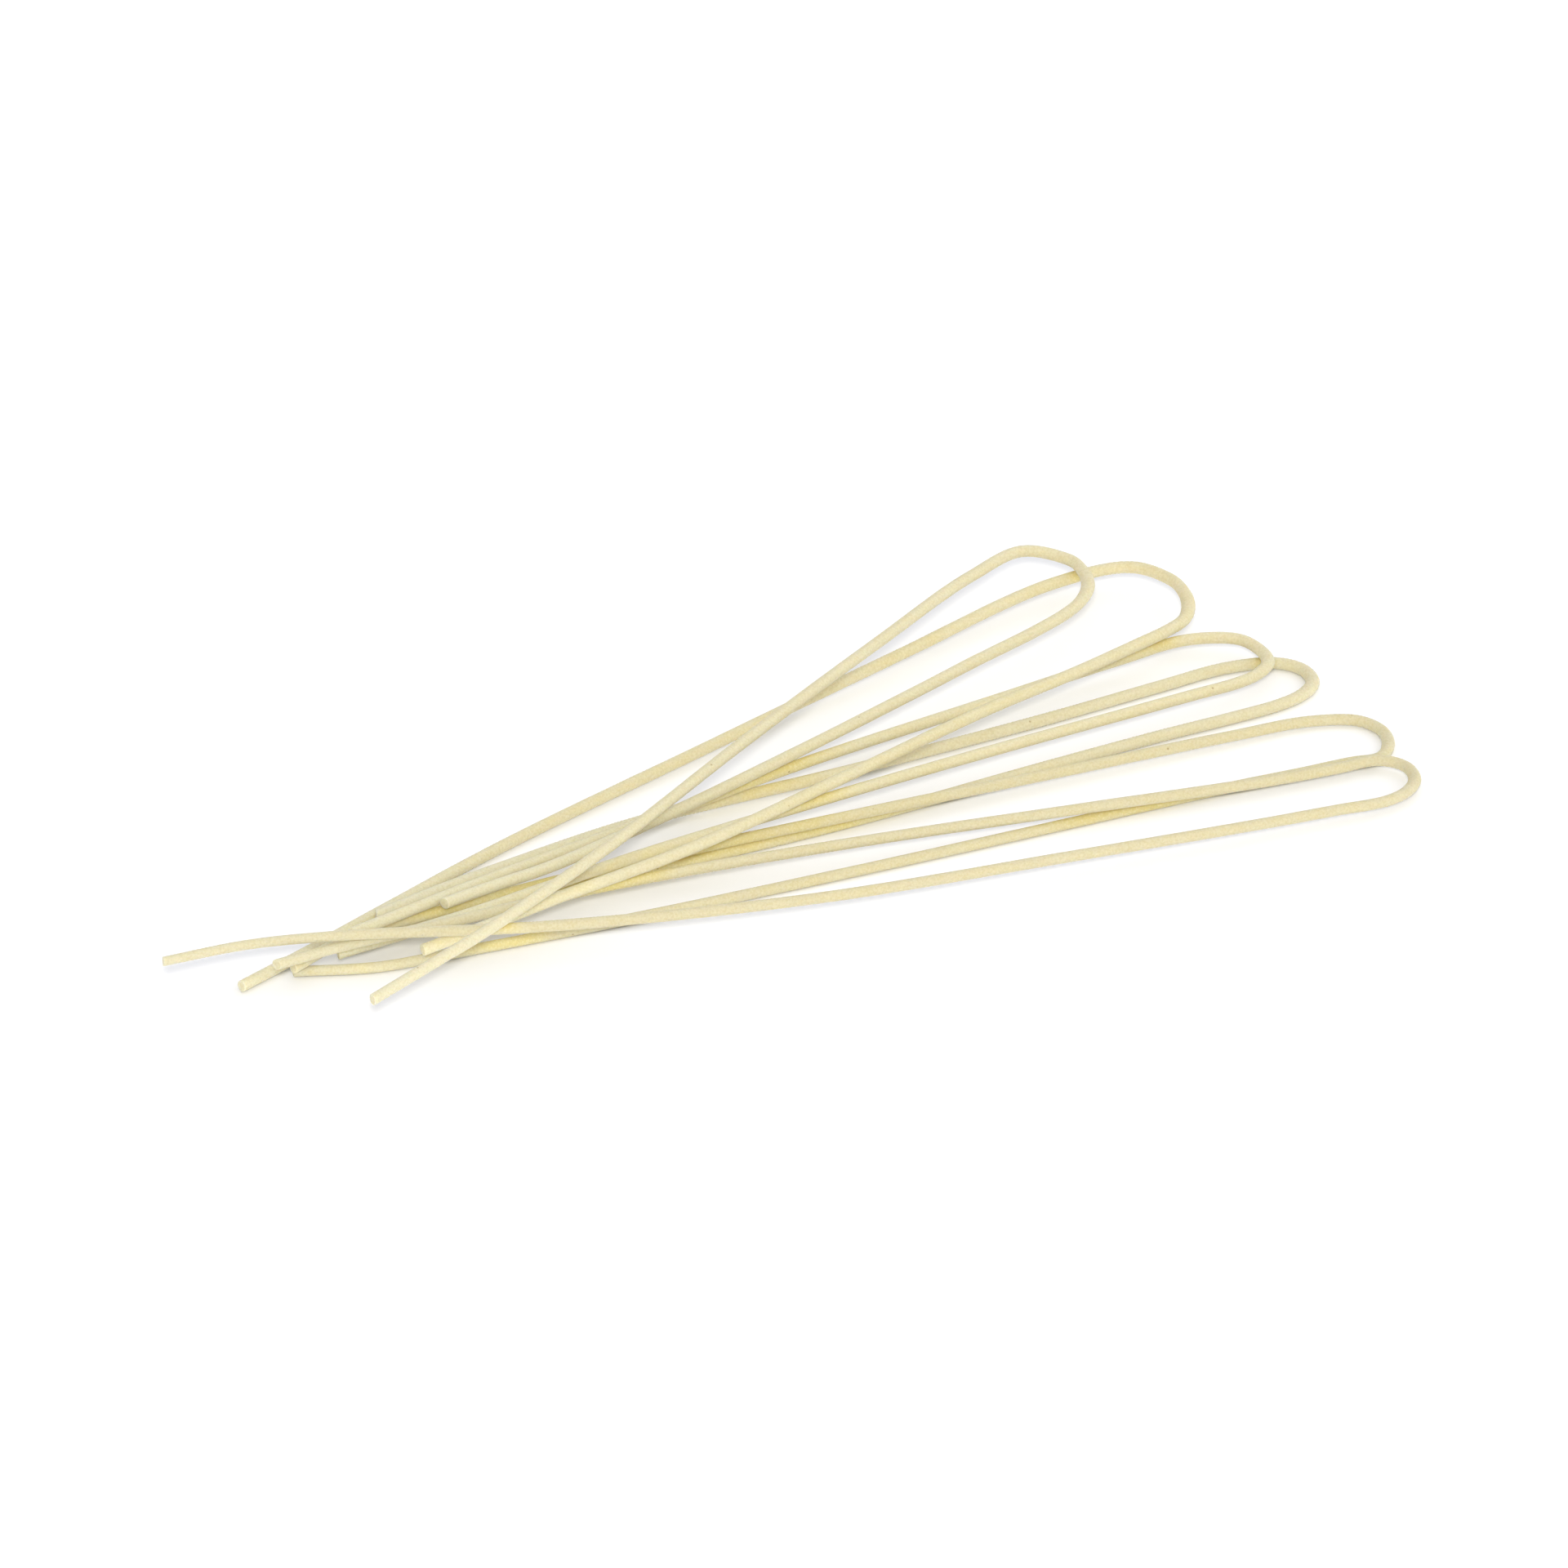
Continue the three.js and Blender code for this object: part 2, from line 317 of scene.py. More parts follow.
pasta = {
    "pale": "#D9D5BB",  # tone 0, towards the cut ends
    "dough": "#D3CCAC",  # tone 0.5
    "golden": "#D2C588",  # tone 1, golden; the strands reach it mostly as painted shade where other strands lie above
    "grainDark": "#C2B581",  # semolina grains
    "grainLight": "#E3DDC4",
    "bran": "#8A6A3C",  # flecks of bran
    "grainSize": 0.5,  # drawn a little coarser than semolina, so that it shows
    "grainStrength": 0.28,
    "grainDarkNoise": (0.5, 0.36),  # noise at which a grain begins to show, and shows in full
    "grainLightNoise": (0.52, 0.66),
    "patchSize": 9,
    "patchStrength": 0.07,
    "patchNoise": (0.3, 0.7),  # from the palest patch to the most golden
    "noiseRoughness": 0.6,
    "branSpacing": 6.0,
    "branSize": 0.24,
    "branEdge": 0.3,  # of that size, over which a fleck fades out
    "branStrength": 0.5,
    "reliefStrength": 0.3,
    "reliefDepth": 0.05,
    "roughness": 0.7,
    "gloss": 0.2,
    "translucency": 0.9,
    "lightReach": 3.0,  # how far light spreads inside the dough
    "lightReachByColour": (1.0, 0.8, 0.45),  # of that reach; blue is soaked up soonest
}


# Durum wheat pasta, extruded through bronze dies and air dried: a matt, faintly rough,
# slightly see-through dough, pale cream yellow with semolina grains and a few bran flecks.
def makePastaMaterial():
    material = bpy.data.materials.new("durumPastaBronzeDieAirDried")
    material.use_nodes = True
    tree = material.node_tree
    tree.nodes.clear()
    place = addNode(tree, "ShaderNodeTexCoord").outputs["Object"]
    inMm = addNode(tree, "ShaderNodeMapping", {"Vector": place, "Scale": (1 / mm, 1 / mm, 1 / mm)})

    # pale and golden dough: each point's own tone, with painted shade where other strands lie above, and
    # slow patches
    tone = addNode(tree, "ShaderNodeAttribute", attribute_name="tone").outputs["Fac"]
    patches = addNode(tree, "ShaderNodeTexNoise", {
        "Vector": inMm, "Scale": 1 / pasta["patchSize"], "Detail": 3,
        "Roughness": pasta["noiseRoughness"]})
    palest, mostGolden = pasta["patchNoise"]
    patchy = addNode(tree, "ShaderNodeMapRange", {
        "Value": patches, "From Min": palest, "From Max": mostGolden,
        "To Min": -pasta["patchStrength"], "To Max": pasta["patchStrength"]})
    tone = addNode(tree, "ShaderNodeMath", {0: tone, 1: patchy}, operation="ADD")
    toDough = addNode(tree, "ShaderNodeMapRange", {"Value": tone, "From Max": 0.5})
    toGolden = addNode(tree, "ShaderNodeMapRange", {"Value": tone, "From Min": 0.5})
    dough = addNode(tree, "ShaderNodeMix", {
        0: toDough, 6: linearColour(pasta["pale"]), 7: linearColour(pasta["dough"])},
        data_type="RGBA").outputs[2]
    dough = addNode(tree, "ShaderNodeMix", {
        0: toGolden, 6: dough, 7: linearColour(pasta["golden"])}, data_type="RGBA").outputs[2]

    # semolina grains, darker and lighter than the dough
    grain = addNode(tree, "ShaderNodeTexNoise", {
        "Vector": inMm, "Scale": 1 / pasta["grainSize"], "Detail": 2,
        "Roughness": pasta["noiseRoughness"]})
    for name in ("grainDark", "grainLight"):
        showsFrom, showsAll = pasta[name + "Noise"]
        shows = addNode(tree, "ShaderNodeMapRange", {
            "Value": grain, "From Min": showsFrom, "From Max": showsAll,
            "To Min": 0, "To Max": pasta["grainStrength"]})
        dough = addNode(tree, "ShaderNodeMix", {
            0: shows, 6: dough, 7: linearColour(pasta[name])}, data_type="RGBA").outputs[2]

    # bran flecks: small dots, a few per hand's width of strand
    cells = addNode(tree, "ShaderNodeTexVoronoi", {
        "Vector": inMm, "Scale": 1 / pasta["branSpacing"], "Randomness": 1})
    fleckSize = pasta["branSize"] / pasta["branSpacing"]
    fleck = addNode(tree, "ShaderNodeMapRange", {
        "Value": cells, "From Min": (1 + pasta["branEdge"]) * fleckSize,
        "From Max": (1 - pasta["branEdge"]) * fleckSize, "To Min": 0, "To Max": pasta["branStrength"]})
    dough = addNode(tree, "ShaderNodeMix", {
        0: fleck, 6: dough, 7: linearColour(pasta["bran"])}, data_type="RGBA").outputs[2]

    # painted light and shade: each strand darkened by its own factor, most on the strands that face the key
    # light squarely, and lighter with painted light in the pile where other strands hide the sky
    lightness = addNode(tree, "ShaderNodeAttribute", attribute_name="lightness").outputs["Fac"]
    dough = addNode(tree, "ShaderNodeVectorMath", {0: dough, "Scale": lightness}, operation="SCALE")

    # the grains stand a little proud of the surface
    relief = addNode(tree, "ShaderNodeBump", {
        "Height": grain, "Strength": pasta["reliefStrength"], "Distance": pasta["reliefDepth"] * mm})
    surface = addNode(tree, "ShaderNodeBsdfPrincipled", {
        "Base Color": dough, "Normal": relief, "Roughness": pasta["roughness"],
        "Specular IOR Level": pasta["gloss"], "Subsurface Weight": pasta["translucency"],
        "Subsurface Radius": pasta["lightReachByColour"], "Subsurface Scale": pasta["lightReach"] * mm})
    addNode(tree, "ShaderNodeOutputMaterial", {"Surface": surface})
    return material


pastaMaterial = makePastaMaterial()
print("pasta material made")

strandShape = {
    "step": 0.4,  # along the strand between rings
    "sides": 24,
    "bendSwelling": 0.17,  # wider in plan at the bend's tip, by this share
    "swellingReach": 11,
    "thinningReach": 70,  # towards the cut ends
    "unevenness": 0.02,  # of the diameter, slow swelling along the strand
    "swellSpacing": 16,
    "rippleSpacing": 0.95,  # faint rings left by the die
    "rippleDepth": 0.06,
    "rippleStretch": 45,  # the rings show on some stretches, about this long
    "rippleShows": (0.42, 0.6),  # noise from which they begin to show, and from which in full
    "rippleWaver": 9,  # radians by which noise sets the rings out of true
    "waverFrequency": 0.45,
    "grainSpacing": 0.9,
    "grainDepth": 0.015,
    "noiseRoughness": 0.6,
    "cutReach": 4,  # length over which a slanting cut leans the rings
    "paleReach": 100,  # the dough is paler this far from the cut ends
    "cutPaleness": 0.3,
    "skyRays": 16,  # looking for other strands between the dough and the sky
    "skyTurn": 2.4,  # radians from one ray to the next round the sky
    "skyReach": 12,
    "skyBlur": 6,
    "neighbourSides": 8,
    "neighbourRadius": 1.25,
    "paintedShadeHidden": (0.18, 0.7),  # shares of the sky hidden, between which it turns golden with painted shade
    "paintedShadeTone": 0.6,
    "paintedLightHidden": (0.1, 0.6),  # and between which, near the cut ends, it also turns lighter with painted light, standing in for the light that goes between the strands there
    "pileReach": 210,  # for the light that goes between the strands there
    "paintedPileLight": 0.2,
}


# The tree sweeps a round section along a line of edges, wider at the bend and thinner at the
# cut ends, with uneven thickness, die ripples, grain and slanting cuts. It stores the tone, how
# golden the dough is, with painted shade where other strands lie above, and a painted light and shade factor
# that the material multiplies it by.
def makeStrandTree():
    tree = bpy.data.node_groups.new("spaghettiStrand", "GeometryNodeTree")
    sizes = ("Diameter", "Step", "Tip Along", "Bend Swelling", "Swelling Reach", "Far Thinning",
             "Near Thinning", "Thinning Reach", "Unevenness", "Swell Spacing", "Ripple Spacing",
             "Ripple Depth", "Ripple Stretch", "Grain Frequency", "Grain Depth", "Far Cut Slant",
             "Near Cut Slant", "Cut Reach", "Pale Reach", "Cut Paleness", "Sky Reach",
             "Neighbour Radius", "Under Tone", "Pile Reach", "Pile Lightness", "Tone", "Lightness",
             "Seed")
    tree.interface.new_socket("Geometry", in_out="INPUT", socket_type="NodeSocketGeometry")
    tree.interface.new_socket("Other Strands", in_out="INPUT", socket_type="NodeSocketObject")
    for name in sizes:
        tree.interface.new_socket(name, in_out="INPUT", socket_type="NodeSocketFloat")
    tree.interface.new_socket("Sides", in_out="INPUT", socket_type="NodeSocketInt")
    tree.interface.new_socket("Material", in_out="INPUT", socket_type="NodeSocketMaterial")
    tree.interface.new_socket("Geometry", in_out="OUTPUT", socket_type="NodeSocketGeometry")
    given = addNode(tree, "NodeGroupInput").outputs

    curve = sweepLine(tree, given)
    mesh = sweepSection(tree, given, curve)
    mesh = shapeSkin(tree, given, mesh)
    mesh = toneSkin(tree, given, mesh)
    for name in ("heart", "heading", "along", "toNearCut"):
        mesh = addNode(tree, "GeometryNodeRemoveAttribute", {"Geometry": mesh, "Name": name})
    mesh = addNode(tree, "GeometryNodeSetShadeSmooth", {"Geometry": mesh})
    # only the cut faces have more than four corners, and they stay flat
    corners = addNode(tree, "GeometryNodeInputMeshFaceNeighbors").outputs["Vertex Count"]
    isCut = addNode(tree, "ShaderNodeMath", {0: corners, 1: 4.5}, operation="GREATER_THAN")
    mesh = addNode(tree, "GeometryNodeSetShadeSmooth", {
        "Geometry": mesh, "Selection": isCut, "Shade Smooth": False})
    mesh = addNode(tree, "GeometryNodeRealizeInstances", {"Geometry": mesh})
    mesh = addNode(tree, "GeometryNodeSetMaterial", {"Geometry": mesh, "Material": given["Material"]})
    addNode(tree, "NodeGroupOutput", {"Geometry": mesh})
    return tree


# the line as a curve of even steps; every ring will know its place, direction and distances
def sweepLine(tree, given):
    curve = addNode(tree, "GeometryNodeMeshToCurve", {"Mesh": given["Geometry"]})
    curve = addNode(tree, "GeometryNodeResampleCurve", {
        "Curve": curve, "Length": given["Step"]}, mode="LENGTH")
    curve = addNode(tree, "GeometryNodeSetCurveNormal", {"Curve": curve}, mode="Z_UP")
    along = addNode(tree, "GeometryNodeSplineParameter").outputs["Length"]
    whole = addNode(tree, "GeometryNodeSplineLength").outputs["Length"]
    toNearCut = addNode(tree, "ShaderNodeMath", {0: whole, 1: along}, operation="SUBTRACT")
    stored = (("along", "FLOAT", along), ("toNearCut", "FLOAT", toNearCut),
              ("heart", "FLOAT_VECTOR", addNode(tree, "GeometryNodeInputPosition")),
              ("heading", "FLOAT_VECTOR", addNode(tree, "GeometryNodeInputTangent")))
    for name, kind, value in stored:
        curve = addNode(tree, "GeometryNodeStoreNamedAttribute", {
            "Geometry": curve, "Name": name, "Value": value}, data_type=kind, domain="POINT")
    return curve


# a round section, slowly swelling and thinning along the strand
def sweepSection(tree, given, curve):
    along = addNode(tree, "GeometryNodeInputNamedAttribute", {"Name": "along"}, data_type="FLOAT")
    toNearCut = addNode(tree, "GeometryNodeInputNamedAttribute", {"Name": "toNearCut"}, data_type="FLOAT")
    swellPlace = addNode(tree, "ShaderNodeMath", {0: along, 1: given["Swell Spacing"]}, operation="DIVIDE")
    swellPlace = addNode(tree, "ShaderNodeMath", {0: swellPlace, 1: given["Seed"]}, operation="ADD")
    swell = addNode(tree, "ShaderNodeTexNoise", {
        "W": swellPlace, "Scale": 1, "Detail": 2}, noise_dimensions="1D")
    swell = addNode(tree, "ShaderNodeMapRange", {"Value": swell, "To Min": -1, "To Max": 1})
    size = addNode(tree, "ShaderNodeMath", {0: swell, 1: given["Unevenness"], 2: 1},
                   operation="MULTIPLY_ADD")
    for distance, share in ((along, given["Far Thinning"]), (toNearCut, given["Near Thinning"])):
        fade = addNode(tree, "ShaderNodeMapRange", {
            "Value": distance, "From Max": given["Thinning Reach"], "To Min": share, "To Max": 0},
            interpolation_type="SMOOTHSTEP")
        size = addNode(tree, "ShaderNodeMath", {0: size, 1: fade}, operation="SUBTRACT")
    half = addNode(tree, "ShaderNodeMath", {0: given["Diameter"], 1: 0.5}, operation="MULTIPLY")
    radius = addNode(tree, "ShaderNodeMath", {0: size, 1: half}, operation="MULTIPLY")
    section = addNode(tree, "GeometryNodeCurvePrimitiveCircle", {
        "Resolution": given["Sides"], "Radius": 1.0})
    return addNode(tree, "GeometryNodeCurveToMesh", {
        "Curve": curve, "Profile Curve": section, "Scale": radius, "Fill Caps": True})


# die ripples on some stretches, a grain all over, the wide bend and the leaning cuts
def shapeSkin(tree, given, mesh):
    along = addNode(tree, "GeometryNodeInputNamedAttribute", {"Name": "along"}, data_type="FLOAT")
    toNearCut = addNode(tree, "GeometryNodeInputNamedAttribute", {"Name": "toNearCut"}, data_type="FLOAT")
    heart = addNode(tree, "GeometryNodeInputNamedAttribute", {"Name": "heart"}, data_type="FLOAT_VECTOR")
    heading = addNode(tree, "GeometryNodeInputNamedAttribute", {"Name": "heading"}, data_type="FLOAT_VECTOR")
    place = addNode(tree, "GeometryNodeInputPosition")
    fromHeart = addNode(tree, "ShaderNodeVectorMath", {0: place, 1: heart}, operation="SUBTRACT")
    outward = addNode(tree, "ShaderNodeVectorMath", {0: fromHeart}, operation="NORMALIZE")
    placeMm = addNode(tree, "ShaderNodeVectorMath", {0: place, "Scale": 1 / mm}, operation="SCALE")

    # ripples: rings a little out of true, deep on some stretches and hardly there on others
    waver = addNode(tree, "ShaderNodeTexNoise", {
        "Vector": placeMm, "Scale": strandShape["waverFrequency"], "Detail": 1})
    turns = addNode(tree, "ShaderNodeMath", {0: along, 1: given["Ripple Spacing"]}, operation="DIVIDE")
    phase = addNode(tree, "ShaderNodeMath", {0: turns, 1: 2 * math.pi}, operation="MULTIPLY")
    phase = addNode(tree, "ShaderNodeMath", {0: waver, 1: strandShape["rippleWaver"], 2: phase},
                    operation="MULTIPLY_ADD")
    ripple = addNode(tree, "ShaderNodeMath", {0: phase}, operation="SINE")
    stretch = addNode(tree, "ShaderNodeMath", {0: along, 1: given["Ripple Stretch"]}, operation="DIVIDE")
    stretch = addNode(tree, "ShaderNodeMath", {0: stretch, 1: given["Seed"]}, operation="ADD")
    stretch = addNode(tree, "ShaderNodeTexNoise", {"W": stretch, "Scale": 1, "Detail": 1},
                      noise_dimensions="1D")
    showsFrom, showsAll = strandShape["rippleShows"]
    depth = addNode(tree, "ShaderNodeMapRange", {
        "Value": stretch, "From Min": showsFrom, "From Max": showsAll,
        "To Min": 0, "To Max": given["Ripple Depth"]})
    ripple = addNode(tree, "ShaderNodeMath", {0: ripple, 1: depth}, operation="MULTIPLY")

    # grain, and the ripples with it, lift the skin outward
    grain = addNode(tree, "ShaderNodeTexNoise", {
        "Vector": placeMm, "Scale": given["Grain Frequency"], "Detail": 2,
        "Roughness": strandShape["noiseRoughness"]})
    grain = addNode(tree, "ShaderNodeMapRange", {"Value": grain, "To Min": -1, "To Max": 1})
    lift = addNode(tree, "ShaderNodeMath", {0: grain, 1: given["Grain Depth"], 2: ripple},
                   operation="MULTIPLY_ADD")
    lift = addNode(tree, "ShaderNodeVectorMath", {0: outward, "Scale": lift}, operation="SCALE")

    # the bend is wider sideways
    across = addNode(tree, "ShaderNodeVectorMath", {0: (0, 0, 1), 1: heading}, operation="CROSS_PRODUCT")
    across = addNode(tree, "ShaderNodeVectorMath", {0: across}, operation="NORMALIZE")
    sideways = addNode(tree, "ShaderNodeVectorMath", {0: fromHeart, 1: across}, operation="DOT_PRODUCT")
    sideways = sideways.outputs["Value"]
    fromTip = addNode(tree, "ShaderNodeMath", {0: along, 1: given["Tip Along"]}, operation="SUBTRACT")
    fromTip = addNode(tree, "ShaderNodeMath", {0: fromTip}, operation="ABSOLUTE")
    swelling = addNode(tree, "ShaderNodeMapRange", {
        "Value": fromTip, "From Max": given["Swelling Reach"],
        "To Min": given["Bend Swelling"], "To Max": 0}, interpolation_type="SMOOTHSTEP")
    widen = addNode(tree, "ShaderNodeMath", {0: swelling, 1: sideways}, operation="MULTIPLY")
    widen = addNode(tree, "ShaderNodeVectorMath", {0: across, "Scale": widen}, operation="SCALE")

    # the knife leans the last rings over
    slants = ((along, given["Far Cut Slant"]), (toNearCut, given["Near Cut Slant"]))
    leans = [addNode(tree, "ShaderNodeMapRange", {
        "Value": distance, "From Max": given["Cut Reach"], "To Min": slant, "To Max": 0})
        for distance, slant in slants]
    lean = addNode(tree, "ShaderNodeMath", {0: leans[0], 1: leans[1]}, operation="ADD")
    slide = addNode(tree, "ShaderNodeMath", {0: lean, 1: sideways}, operation="MULTIPLY")
    slide = addNode(tree, "ShaderNodeVectorMath", {0: heading, "Scale": slide}, operation="SCALE")

    move = addNode(tree, "ShaderNodeVectorMath", {0: lift, 1: widen}, operation="ADD")
    move = addNode(tree, "ShaderNodeVectorMath", {0: move, 1: slide}, operation="ADD")
    return addNode(tree, "GeometryNodeSetPosition", {"Geometry": mesh, "Offset": move})


# the dough is paler towards the cut ends, golden with painted shade where other strands hide the sky, and
# there, near the cut ends, lighter with painted light
def toneSkin(tree, given, mesh):
    along = addNode(tree, "GeometryNodeInputNamedAttribute", {"Name": "along"}, data_type="FLOAT")
    toNearCut = addNode(tree, "GeometryNodeInputNamedAttribute", {"Name": "toNearCut"}, data_type="FLOAT")
    fromCut = addNode(tree, "ShaderNodeMath", {0: along, 1: toNearCut}, operation="MINIMUM")
    paler = addNode(tree, "ShaderNodeMapRange", {
        "Value": fromCut, "From Max": given["Pale Reach"], "To Min": given["Cut Paleness"], "To Max": 0},
        interpolation_type="SMOOTHSTEP")
    tone = addNode(tree, "ShaderNodeMath", {0: given["Tone"], 1: paler}, operation="SUBTRACT")

    others = addNode(tree, "GeometryNodeObjectInfo", {"Object": given["Other Strands"]})
    others = addNode(tree, "GeometryNodeMeshToCurve", {"Mesh": others.outputs["Geometry"]})
    section = addNode(tree, "GeometryNodeCurvePrimitiveCircle", {
        "Resolution": strandShape["neighbourSides"], "Radius": given["Neighbour Radius"]})
    others = addNode(tree, "GeometryNodeCurveToMesh", {"Curve": others, "Profile Curve": section})
    place = addNode(tree, "GeometryNodeInputPosition")

    # rays spread over the sky, closer together overhead, count what other strands hide of it
    hidden = 0
    count = strandShape["skyRays"]
    for i in range(count):
        up = math.sqrt(1 - (i + 0.5) / count)
        out = math.sqrt(1 - up * up)
        turn = strandShape["skyTurn"] * i
        ray = addNode(tree, "GeometryNodeRaycast", {
            "Target Geometry": others, "Source Position": place, "Ray Length": given["Sky Reach"],
            "Ray Direction": (out * math.cos(turn), out * math.sin(turn), up)})
        hidden = addNode(tree, "ShaderNodeMath", {0: ray, 1: 1 / count, 2: hidden},
                         operation="MULTIPLY_ADD")
    hidden = addNode(tree, "GeometryNodeBlurAttribute", {
        "Value": hidden, "Iterations": strandShape["skyBlur"]}, data_type="FLOAT")
    # painted shade: golden where other strands hide much of the sky, standing in for shadow and light passed
    # between strands
    paintedShadeMask, paintedLightMask = [addNode(tree, "ShaderNodeMapRange", {
        "Value": hidden, "From Min": least, "From Max": most})
        for least, most in (strandShape["paintedShadeHidden"], strandShape["paintedLightHidden"])]
    # painted light: lighter near the cut ends where other strands hide much of the sky
    paintedPileLightFade = addNode(tree, "ShaderNodeMapRange", {
        "Value": fromCut, "From Max": given["Pile Reach"], "To Min": given["Pile Lightness"], "To Max": 0},
        interpolation_type="SMOOTHSTEP")
    tone = addNode(tree, "ShaderNodeMath", {0: paintedShadeMask, 1: given["Under Tone"], 2: tone},
                   operation="MULTIPLY_ADD", use_clamp=True)
    # painted light and shade factor: the strand's own painted shade, raised by painted light in the pile
    lightness = addNode(tree, "ShaderNodeMath", {
        0: paintedLightMask, 1: paintedPileLightFade, 2: given["Lightness"]}, operation="MULTIPLY_ADD")
    for name, value in (("tone", tone), ("lightness", lightness)):
        mesh = addNode(tree, "GeometryNodeStoreNamedAttribute", {
            "Geometry": mesh, "Name": name, "Value": value}, data_type="FLOAT", domain="POINT")
    return mesh


strandTree = makeStrandTree()
socketNames = {item.name: item.identifier for item in strandTree.interface.items_tree
               if item.item_type == "SOCKET" and item.in_out == "INPUT"}
print("strand nodes made")


# an object of loose edges along one or more lines of points
def makeLineObject(name, someLines):
    points, edges = [], []
    for thisLine in someLines:
        first = len(points)
        points += [p * mm for p in thisLine]
        edges += [(i, i + 1) for i in range(first, len(points) - 1)]
    raw = bpy.data.meshes.new(name)
    raw.from_pydata(points, edges, [])
    lineObject = bpy.data.objects.new(name, raw)
    bpy.context.scene.collection.objects.link(lineObject)
    return lineObject


def makeStrand(number):
    strand = strands[number]
    points, tip = lines[number]
    piece = makeLineObject(strand["node"] + "_pasta", [points])
    others = lines[:number] + lines[number + 1:]
    otherStrands = makeLineObject("otherStrands", [otherPoints for otherPoints, otherTip in others])
    modifier = piece.modifiers.new("strand", "NODES")
    modifier.node_group = strandTree
    values = {
        "Other Strands": otherStrands,
        "Diameter": strand["diameter"] * mm,
        "Step": strandShape["step"] * mm,
        "Sides": strandShape["sides"],
        "Tip Along": lengthsAlong(points)[tip] * mm,
        "Bend Swelling": strandShape["bendSwelling"],
        "Swelling Reach": strandShape["swellingReach"] * mm,
        "Far Thinning": float(1 - strand["thinTo"][0]),
        "Near Thinning": float(1 - strand["thinTo"][1]),
        "Thinning Reach": strandShape["thinningReach"] * mm,
        "Unevenness": strandShape["unevenness"],
        "Swell Spacing": strandShape["swellSpacing"] * mm,
        "Ripple Spacing": strandShape["rippleSpacing"] * mm,
        "Ripple Depth": strandShape["rippleDepth"] * strand["rippleDepth"] * mm,
        "Ripple Stretch": strandShape["rippleStretch"] * mm,
        "Grain Frequency": 1 / strandShape["grainSpacing"],
        "Grain Depth": strandShape["grainDepth"] * mm,
        "Far Cut Slant": float(strand["cutSlant"][0]),
        "Near Cut Slant": float(strand["cutSlant"][1]),
        "Cut Reach": strandShape["cutReach"] * mm,
        "Pale Reach": strandShape["paleReach"] * mm,
        "Cut Paleness": strandShape["cutPaleness"],
        "Sky Reach": strandShape["skyReach"] * mm,
        "Neighbour Radius": strandShape["neighbourRadius"] * mm,
        "Under Tone": strandShape["paintedShadeTone"],
        "Pile Reach": strandShape["pileReach"] * mm,
        "Pile Lightness": strandShape["paintedPileLight"],
        "Tone": strand["tone"],
        "Lightness": float(strand["lightness"]),
        "Seed": float(strand["seed"]),
        "Material": pastaMaterial,
    }
    for name, value in values.items():
        modifier[socketNames[name]] = value
    depsgraph = bpy.context.evaluated_depsgraph_get()
    solid = bpy.data.meshes.new_from_object(
        piece.evaluated_get(depsgraph), preserve_all_data_layers=True, depsgraph=depsgraph)
    solid.name = piece.name
    raw = piece.data
    piece.modifiers.clear()
    piece.data = solid
    bpy.data.meshes.remove(raw)
    bpy.data.meshes.remove(otherStrands.data)  # and its object with it
    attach(piece, "root")
    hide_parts(strand["node"])
    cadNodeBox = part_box(strand["node"])
    corners = [[pick(v.co[axis] for v in solid.vertices) for axis in range(3)] for pick in (min, max)]
    misfit = max(abs(a - b) for c, d in zip(corners, cadNodeBox) for a, b in zip(c, d))
    print(strand["node"], len(solid.polygons), "faces, off its solid's box by", round(misfit / mm, 2), "mm")


for number in range(len(strands)):
    makeStrand(number)

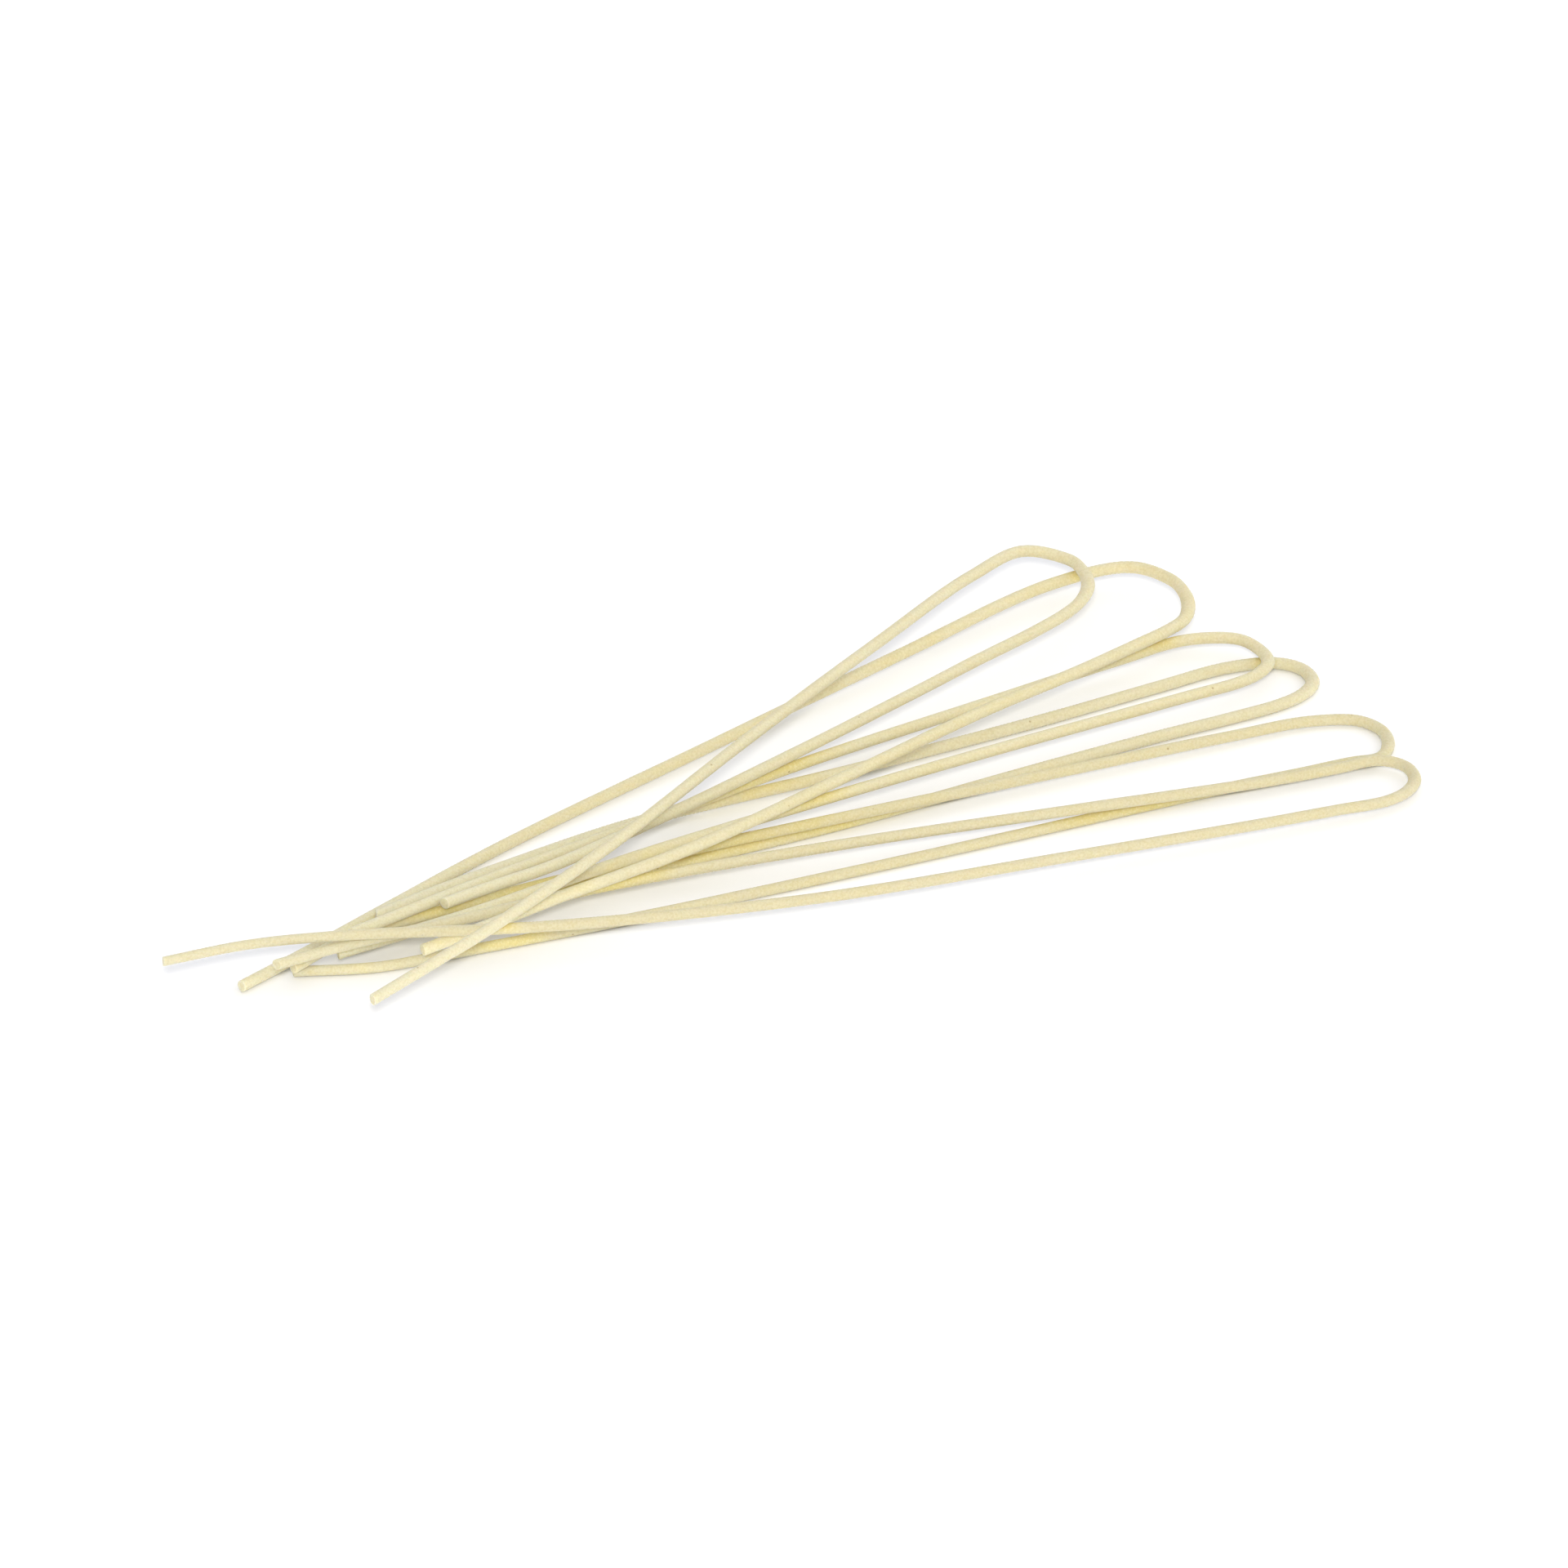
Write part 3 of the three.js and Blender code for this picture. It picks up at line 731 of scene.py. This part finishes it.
studio = {
    "floor": "#FFFFFF",
    "floorSize": 6000,
    "floorDrop": 0.2,  # below the strands, so that their grain doesn't cut through it
    "floorRoughness": 0.9,
    "floorGloss": 0.1,
    "sky": 0.885,
    "skyLean": 0.4,  # share by which it is brighter to the right, and dimmer to the left
    "skyColour": "#FAFBFF",
    "sun": 1.5,
    "sunColour": "#FFFBF3",
    "sunElevation": 33,  # over the viewer's shoulder, a little above the camera
    "sunSoftness": 7,  # degrees across
}


def makeFloor():
    half = studio["floorSize"] / 2 * mm
    low = -studio["floorDrop"] * mm
    corners = [(-half, -half, low), (half, -half, low), (half, half, low), (-half, half, low)]
    mesh = bpy.data.meshes.new("table")
    mesh.from_pydata(corners, [], [(0, 1, 2, 3)])
    table = bpy.data.objects.new("table", mesh)
    bpy.context.scene.collection.objects.link(table)
    # matt white laminate, plain and even
    material = bpy.data.materials.new("laminateMattWhite")
    material.use_nodes = True
    shader = material.node_tree.nodes["Principled BSDF"]
    shader.inputs["Base Color"].default_value = linearColour(studio["floor"])
    shader.inputs["Roughness"].default_value = studio["floorRoughness"]
    shader.inputs["Specular IOR Level"].default_value = studio["floorGloss"]
    mesh.materials.append(material)


def makeLight():
    world = bpy.data.worlds.new("studio")
    bpy.context.scene.world = world
    world.use_nodes = True
    tree = world.node_tree
    tree.nodes.clear()
    direction = addNode(tree, "ShaderNodeTexCoord").outputs["Generated"]
    toRight = addNode(tree, "ShaderNodeSeparateXYZ", {"Vector": direction}).outputs["X"]
    brightness = addNode(tree, "ShaderNodeMapRange", {
        "Value": toRight, "From Min": -1, "From Max": 1,
        "To Min": studio["sky"] * (1 - studio["skyLean"]),
        "To Max": studio["sky"] * (1 + studio["skyLean"])})
    background = addNode(tree, "ShaderNodeBackground", {
        "Color": linearColour(studio["skyColour"]), "Strength": brightness})
    addNode(tree, "ShaderNodeOutputWorld", {"Surface": background})
    data = bpy.data.lights.new("softKey", "SUN")
    data.energy = studio["sun"]
    data.color = linearColour(studio["sunColour"])[:3]
    data.angle = math.radians(studio["sunSoftness"])
    key = bpy.data.objects.new("softKey", data)
    key.rotation_euler = (math.radians(90 - studio["sunElevation"]), 0, 0)
    bpy.context.scene.collection.objects.link(key)
    bpy.context.scene.view_settings.view_transform = "Standard"


makeFloor()
makeLight()
print("table and lights set")

print("cad", [[round(v / mm, 2) for v in c] for c in cadBox])
